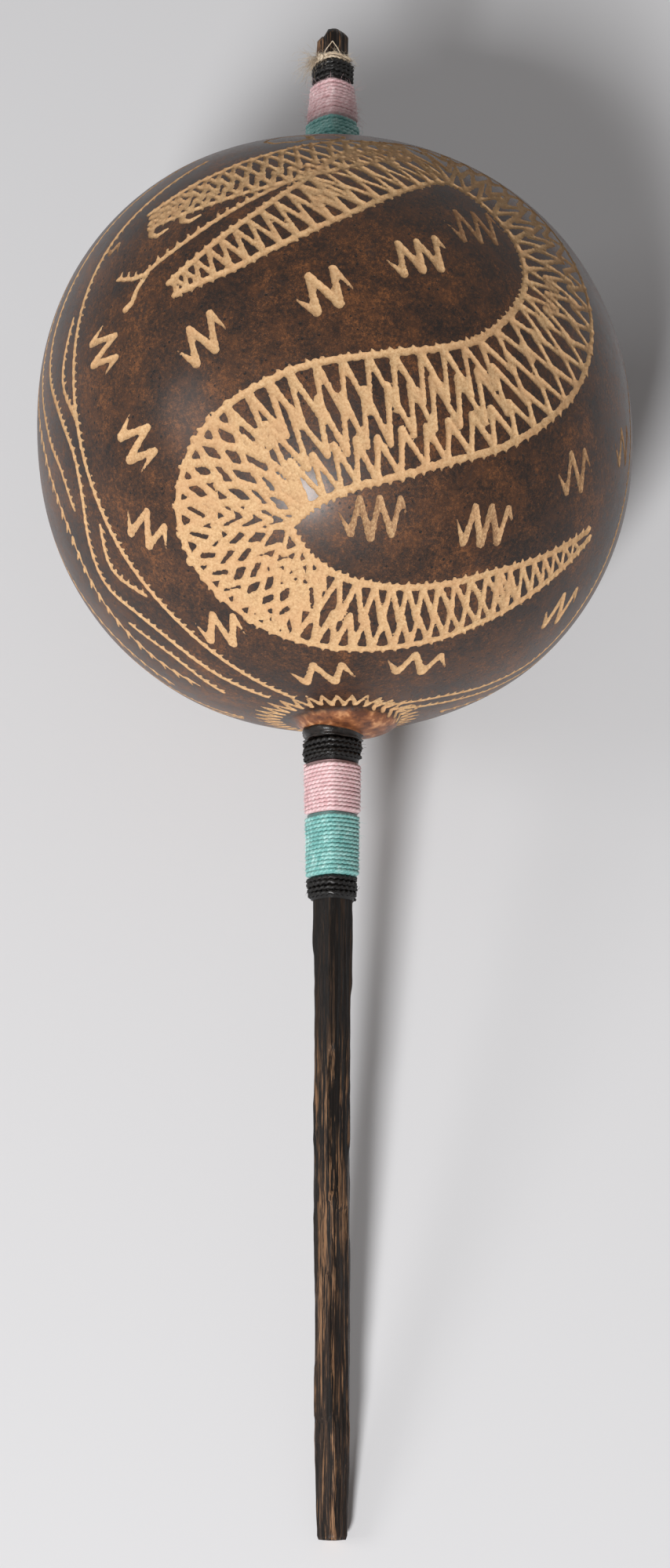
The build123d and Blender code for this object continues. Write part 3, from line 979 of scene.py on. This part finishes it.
def wavy(shape, cells, reach):
    """Soft random values over a grid that closes round its second side; cells are its two counts."""
    coarse = chance.uniform(-reach, reach, cells)
    rows = np.linspace(0, cells[0] - 1.001, shape[0])
    columns = np.linspace(0, cells[1], shape[1], endpoint=False)
    row, column = rows.astype(int), columns.astype(int)
    down = smooth(0, 1, rows - row)[:, None]
    aside = smooth(0, 1, columns - column)[None, :]
    beside = (column + 1) % cells[1]
    top = coarse[row][:, column] * (1 - aside) + coarse[row][:, beside] * aside
    low = coarse[row + 1][:, column] * (1 - aside) + coarse[row + 1][:, beside] * aside
    return top * (1 - down) + low * down


def stick_radii(stations, angles):
    """The radius of the CAD's stick at each height and angle."""
    points, faces = cad_mesh("palm_stick")
    solid = BVHTree.FromPolygons(points.tolist(), faces)
    ways = [(cos(angle), sin(angle), 0) for angle in angles]
    return np.array([[solid.ray_cast((0, 0, z), way)[3] for way in ways] for z in stations])


def knife_chips(radius, stations, angles, low, high):
    """The radii once flat chips are taken off between two heights."""
    for _ in range(46):
        z = chance.uniform(low, high)
        way = chance.uniform(0, tau)
        length, deep = chance.uniform(9, 26), chance.uniform(0.05, 0.28)
        near = np.clip(1 - ((stations - z) / length) ** 2, 0, 1)
        here = np.interp(z, stations, radius[:, int(way / tau * STICK_ROUND) % STICK_ROUND])
        facing = np.cos(angles - way)
        plane = (here - deep * near)[:, None] / np.maximum(facing, 0.2)[None, :]
        taken = np.clip(radius - plane, 0, 0.45) * smooth(0.0, 0.35, near)[:, None] * (facing > 0.2)[None, :]
        radius = radius - taken
    return radius


def top_height(tip, x, y):
    """The broken top: a rounded end with a step and a notch on its left."""
    broken = 1.3 * smooth(-1.4, -2.6, x) + 0.5 * smooth(-0.4, 1.8, y) + 0.1 * np.sin(1.3 * x + 1.0 * y)
    notch = 0.6 * smooth(0.9, 0.3, np.abs(x + 2.0)) * smooth(1.5, 0.0, y)
    return tip - 0.075 * (x**2 + y**2) - broken - notch


def stick():
    points, _ = cad_mesh("palm_stick")
    butt, tip = points[:, 2].min(), points[:, 2].max()
    wound_low = cad_mesh("lower_end_cord")[0][:, 2].min()
    stations = np.linspace(butt + 0.02, tip - 0.02, int((tip - butt) / STICK_STEP))
    angles = full_turn(STICK_ROUND)
    radius = knife_chips(stick_radii(stations, angles), stations, angles, butt, wound_low)
    for cells, reach in (((60, 26), 0.07), ((34, 48), 0.10), ((150, 12), 0.06)):
        radius = radius + wavy(radius.shape, cells, reach)
    top_drop = tip - top_height(tip, *around_stick(radius[-1], angles, 0).T[:2])
    share = smooth(tip - 7, tip, stations)[:, None]
    body = around_stick(radius, angles, stations[:, None] - top_drop[None, :] * share)
    caps, feet = [], []
    for shrink in (0.93, 0.8, 0.62, 0.42, 0.2):
        x, y = around_stick(radius[-1] * shrink, angles, 0).T[:2]
        torn = 0.22 * np.sin(5 * x + 1) * np.sin(4.3 * y) * (1 - shrink)
        caps.append(np.stack([x, y, top_height(tip, x, y) + torn], -1))
    for shrink in (0.2, 0.45, 0.7, 0.9, 0.97):
        x, y = around_stick(radius[0] * shrink, angles, 0).T[:2]
        feet.append(np.stack([x, y, butt + 0.03 * np.sin(4 * x) * np.sin(5 * y) + 0.03], -1))
    grid = np.concatenate((np.array(feet), body, np.array(caps)))
    all_points = np.vstack((grid.reshape(-1, 3), [(0, 0, butt + 0.03), (0, 0, top_height(tip, 0, 0))]))
    raw = np.zeros((len(grid), STICK_ROUND))  # how much of the end grain shows
    raw[: len(feet)] = 1
    raw[-len(caps):] = 0.55
    raw = np.concatenate((raw.ravel(), [1, 0.55]))
    piece("palm_stick_whittled", all_points, capped_faces(*grid.shape[:2]), [palm_wood()],
          ["palm_stick"], attributes=[("raw", raw)])


# ---- bindings ----
YARN = 1.15  # from turn to turn
CORD = 1.55
SQUARENESS = 1.42  # 2 is round; less is a square with its corners front, back and at the sides
PLIES = 2


def rounded_square(angle):
    return (np.abs(np.cos(angle)) ** SQUARENESS + np.abs(np.sin(angle)) ** SQUARENESS) ** (-1 / SQUARENESS)


def binding_sizes(node):
    """Its two ends along the stick and its outer radius near each."""
    points, _ = cad_mesh(node)
    reach = np.hypot(points[:, 0], points[:, 1])
    low, high = points[:, 2].min(), points[:, 2].max()
    near = 0.15 * (high - low)
    return low, high, reach[points[:, 2] < low + near].max(), reach[points[:, 2] > high - near].max()


def hairs(pile, roots, outward, count, longest, thin, droop=(0, 0, 0)):
    """Loose fibres: thin closed tubes that curl away from points on a strand."""
    for _ in range(count):
        pick = chance.integers(len(roots))
        length = longest * chance.uniform(0.25, 1) ** 1.5
        way = outward[pick] * chance.uniform(0.4, 1.2) + chance.normal(size=3) * 0.6
        way /= np.linalg.norm(way)
        steps = 7
        path = [roots[pick] - way * 0.1]
        for _ in range(steps - 1):
            way = way + chance.normal(size=3) * 0.35 + np.array(droop)
            way /= np.linalg.norm(way)
            path.append(path[-1] + way * length / steps)
        path = np.array(path)
        taper = np.linspace(thin, thin * 0.4, steps)[:, None] * np.ones((1, 3))
        frame_way = np.cross(path[-1] - path[0], chance.normal(size=3))
        pile.add(*tube(path, taper, np.tile(frame_way, (steps, 1))))


def sleeve(low, high, low_reach, high_reach, deep):
    """A hoop that fills in behind a strand, from inside the stick to a depth under the strand's reach."""
    columns, inside, margin = 48, 3.2, 0.15
    low_end, high_end = low + margin, high - margin
    angle = full_turn(columns)
    rows = []
    for z, outer in ((low_end, False), (low_end, True), (high_end, True), (high_end, False)):
        reach = (np.interp(z, [low, high], [low_reach, high_reach]) - deep) * rounded_square(angle)
        rows.append(around_stick(reach if outer else inside, angle, z))
    return np.vstack(rows), hoop_faces(len(rows), columns)


def wind(node, material, thickness, twist, lumps, fuzz, slack, section=9):
    """One strand wound round the stick over a sleeve that fills in behind it.

    twist is the length of one turn of the plies, lumps and slack are how uneven the strand is, and fuzz is
    how many hairs it has, how long and how thin; section is the number of points round the strand."""
    low, high, low_reach, high_reach = binding_sizes(node)
    turns = round((high - low) / thickness)
    per_turn = int(tau * (low_reach + high_reach) / 2 / (0.3 * max(1.0, thickness)))
    steps = turns * per_turn
    turn = np.linspace(0, turns, steps)
    angle = turn * tau + chance.uniform(0, tau)
    strand = thickness * 0.54
    wobble, swell = [
        np.interp(turn, np.linspace(0, turns, count), chance.uniform(-1, 1, count))
        for count in (turns * 3 + 1, turns * 5 + 1)
    ]
    z = low + thickness / 2 + (high - low - thickness) * turn / turns + wobble * (0.05 + slack) * thickness
    reach = np.interp(z, [low, high], [low_reach, high_reach]) - strand + swell * lumps * 0.5
    reach = reach * rounded_square(angle)
    path, outward = around_stick(reach, angle, z), around_stick(1.0, angle, 0.0)
    phase = PLIES * (full_turn(section)[None, :] + lengths_along(path)[:, None] * tau / twist)
    lobes = 0.5 + 0.5 * np.cos(phase)
    deep = 0.6 if lumps > 0.1 else 0.34
    sections = strand * (1.06 - deep + deep * lobes) * (1 + lumps * swell * 0.6)[:, None]
    pile = Pile()
    pile.add(*tube(path, sections, outward))
    # values for the painted shade in the creases: 0 deepest in a crease between plies, 1 on a ply's crown
    crease_shading = [lobes.ravel()]
    points, faces = sleeve(low, high, low_reach, high_reach, strand * 1.25)
    pile.add(points, faces)
    # the sleeve behind the strand gets the strongest painted shade
    crease_shading.append(np.zeros(len(points)))
    before = pile.count
    hairs(pile, path + outward * strand * 0.8, outward, *fuzz)
    # the hairs get a little painted shade
    crease_shading.append(np.full(pile.count - before, 0.9))
    piece(node + "_wound", pile.all_points(), pile.faces, [material], [node],
          attributes=[("crease_shading", np.concatenate(crease_shading))])


def bindings():
    pink = yarn_material("pink_yarn", (202, 156, 158), (230, 194, 197), (244, 224, 223))
    turquoise = yarn_material("turquoise_yarn", (80, 146, 142), (136, 197, 191), (202, 235, 229))
    black = cord_material()
    cord_fuzz, low_fuzz = (30, 3.0, 0.05), (240, 3.4, 0.035)
    wind("collar_cord", black, CORD, 3.4, 0.22, cord_fuzz, 0.2, 11)
    wind("lower_pink_yarn", pink, YARN, 3.0, 0.05, low_fuzz, 0.0)
    wind("lower_turquoise_yarn", turquoise, YARN, 3.0, 0.05, low_fuzz, 0.0)
    wind("lower_end_cord", black, CORD, 3.4, 0.22, cord_fuzz, 0.2, 11)
    wind("upper_turquoise_yarn", turquoise, YARN, 3.4, 0.07, (160, 4.5, 0.035), 0.14)
    wind("upper_pink_yarn", pink, YARN, 3.4, 0.07, (380, 6.0, 0.035), 0.14)
    wind("upper_end_cord", black, CORD, 3.4, 0.28, cord_fuzz, 0.22, 11)


def tip_thread():
    """The cream thread tied over the top cord: its turns, a loop at the front, a knot and loose ends."""
    low, high, low_reach, high_reach = binding_sizes("tip_tie_thread")
    cream = yarn_material("natural_thread", (158, 134, 108), (205, 184, 156), (232, 218, 196))
    pile = Pile()
    turns, strand = 3.4, 0.42
    steps = 420
    turn = np.linspace(0, turns, steps)
    angle = turn * tau
    z = np.interp(turn, [0, turns], [low + 0.2, high - 0.1]) + 0.28 * np.sin(angle * 0.61 + 1)
    reach = np.interp(turn, [0, turns], [low_reach, high_reach]) - strand + 0.16 * np.sin(turn * 5.1)
    reach = reach * rounded_square(angle)
    path, outward = around_stick(reach, angle, z), around_stick(1.0, angle, 0.0)
    twist = np.arange(steps) * 0.44
    sections = strand * (0.85 + 0.2 * np.cos(PLIES * (full_turn(8)[None, :] - twist[:, None])))
    pile.add(*tube(path, sections, outward))
    front = -np.interp((low + high) / 2, [low, high], [low_reach, high_reach])
    corners = [(-2.3, 0.9, -0.3), (-1.5, 0.45, 0.9), (-0.6, 0.2, 2.0), (0.0, 0.15, 2.9), (0.6, 0.2, 2.0),
               (1.4, 0.4, 0.9), (2.1, 0.9, -0.3)]
    loop = evenly(np.array(corners) + (0, front, high), 0.25)
    pile.add(*tube(loop, np.full((len(loop), 6), 0.13), np.tile((0.0, -1.0, 0.1), (len(loop), 1))))
    for shift in (-0.3, 0.35):
        corners = [(-3.6 + shift, 1.6, -0.2), (-3.0 + shift, 1.0, 0.5), (-3.4, 1.0, 1.1), (-4.1, 1.9, 0.6)]
        knot = evenly(np.array(corners) + (0, front, low), 0.3)
        pile.add(*tube(knot, np.full((len(knot), 7), 0.4), np.tile((0.3, -1.0, 0.2), (len(knot), 1))))
    hairs(pile, path + outward * strand, outward, 200, 4.5, 0.04)
    left = outward[:, 0] < -0.6
    hairs(pile, (path + outward * strand)[left], outward[left], 220, 11.0, 0.045, (-0.02, -0.02, -0.2))
    # a little painted shade, the same over the whole thread
    crease_shading = np.full(pile.count, 0.8)
    piece("tip_tie_thread_tied", pile.all_points(), pile.faces, [cream],
          ["tip_tie_thread"], attributes=[("crease_shading", crease_shading)])


def pitch_seal():
    """The lumpy bead of pitch on the stem scar, with its plug in the hole."""
    low, high, low_reach, _ = binding_sizes("stem_pitch_seal")
    columns = 96
    angle = full_turn(columns)
    points, _ = cad_mesh("stem_pitch_seal")
    foot = np.hypot(points[:, 0], points[:, 1]).max()
    outline = [  # height above the bead's face and radius, from the stick round to the plug's inner end
        (0.0, 4.2), (0.0, low_reach * 0.8), (0.12, low_reach * 0.92), (0.6, foot * 0.80), (1.2, foot * 0.87),
        (2.0, foot * 0.93), (3.2, foot * 0.88), (4.0, 6.6), (high - low - 0.3, 6.5), (high - low, 5.2),
        (high - low, 4.2),
    ]
    rows = []
    for height, radius in outline:
        lump = 0.26 * np.sin(3 * angle + 1) + 0.2 * np.sin(7 * angle + height)
        lump += 0.08 * np.sin(13 * angle + 2 * height)
        lump *= radius > 4.5 and height < 3.5
        rows.append(around_stick(radius + lump, angle, low + height + 0.25 * lump))
    piece("stem_pitch_seal_bead", np.vstack(rows), hoop_faces(len(rows), columns), [pitch_material()],
          ["stem_pitch_seal"])


SEED_SHARE = 0.93  # of the CAD's seed, to be clear of the rind's uneven inside


def seeds():
    """Hard round seeds, each a little uneven, with a dimple where it grew from the pod."""
    coat = seed_material()
    for name in sorted(frame["nodes"]):
        if not name.startswith("loose_seed"):
            continue
        points, _ = cad_mesh(name)
        middle = (points.min(0) + points.max(0)) / 2
        radius = SEED_SHARE * (points.max(0) - points.min(0)).min() / 2
        rows, columns = 22, 36
        up = np.linspace(-pi / 2 + 0.06, pi / 2 - 0.06, rows)[:, None]
        ways = around_stick(np.cos(up), full_turn(columns)[None, :], np.sin(up))
        ways = np.vstack((ways.reshape(-1, 3), [(0, 0, -1), (0, 0, 1)]))
        lean = chance.normal(size=3)
        lean /= np.linalg.norm(lean)
        facing = ways @ lean
        size = radius * (0.985 - 0.10 * smooth(0.90, 0.99, facing) - 0.035 * facing**2)
        size += radius * 0.012 * np.sin(ways @ np.array((9.0, 7.0, 8.0)) + chance.uniform(0, tau))
        size = np.minimum(size, radius)
        body = frame["nodes"][name]["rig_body"]
        piece(name + "_seed", middle + ways * size[:, None], capped_faces(rows, columns), [coat],
              [name], body)


# ---- the studio ----
def studio():
    floor_mesh = bpy.data.meshes.new("floor")
    reach = 12.0
    corners = [(x * reach, y * reach, 0) for x, y in ((-1, -1), (1, -1), (1, 1), (-1, 1))]
    floor_mesh.from_pydata(corners, [], [(0, 1, 2, 3)])
    floor = add_object("floor", floor_mesh)
    make = Shader("paper", Roughness=0.85, Specular_IOR_Level=0.2)
    make.colour(colour(226, 226, 228))
    floor_mesh.materials.append(make.material)

    world = bpy.data.worlds.new("studio")
    bpy.context.scene.world = world
    world.use_nodes = True
    nodes, links = world.node_tree.nodes, world.node_tree.links
    background = nodes["Background"]
    background.inputs["Color"].default_value = (1.0, 0.96, 0.94, 1.0)
    path = nodes.new("ShaderNodeLightPath")
    seen = path.outputs["Is Camera Ray"]
    for kind in ("Is Glossy Ray", "Is Transmission Ray"):
        either = nodes.new("ShaderNodeMath")
        either.operation = "MAXIMUM"
        links.new(seen, either.inputs[0])
        links.new(path.outputs[kind], either.inputs[1])
        seen = either.outputs[0]
    level = nodes.new("ShaderNodeMapRange")
    links.new(seen, level.inputs["Value"])
    level.inputs["To Min"].default_value = 0.18
    level.inputs["To Max"].default_value = 0.5
    links.new(level.outputs[0], background.inputs["Strength"])

    def lamp(name, azimuth, elevation, distance, size, power):
        light = bpy.data.lights.new(name, "AREA")
        light.shape = "RECTANGLE"
        light.size, light.size_y = size
        light.energy = power
        thing = add_object(name, light)
        way = Vector((sin(radians(azimuth)) * cos(radians(elevation)),
                      -cos(radians(azimuth)) * cos(radians(elevation)), sin(radians(elevation))))
        thing.location = Vector(to_world([(0, 0, -40)])[0]) + way * distance
        thing.rotation_euler = way.to_track_quat("Z", "Y").to_euler()

    lamp("key", -16, 37, 3.0, (0.5, 0.6), 92)
    lamp("side", -78, 34, 2.6, (1.0, 0.8), 12)


def camera():
    view = bpy.data.cameras.new("camera")
    view.lens = 60
    view.sensor_width = 36
    view.clip_start = 0.01
    thing = add_object("camera", view)
    elevation = radians(62.5)
    back = Vector((0, -cos(elevation), sin(elevation)))
    thing.location = Vector(CENTRE * MM) + Vector((0.0007, -0.4094, 0.5830))
    thing.rotation_euler = back.to_track_quat("Z", "Y").to_euler()
    bpy.context.scene.camera = thing


bpy.context.scene.view_settings.view_transform = "Standard"
camera()
studio()
gourd()
stick()
pitch_seal()
bindings()
tip_thread()
seeds()
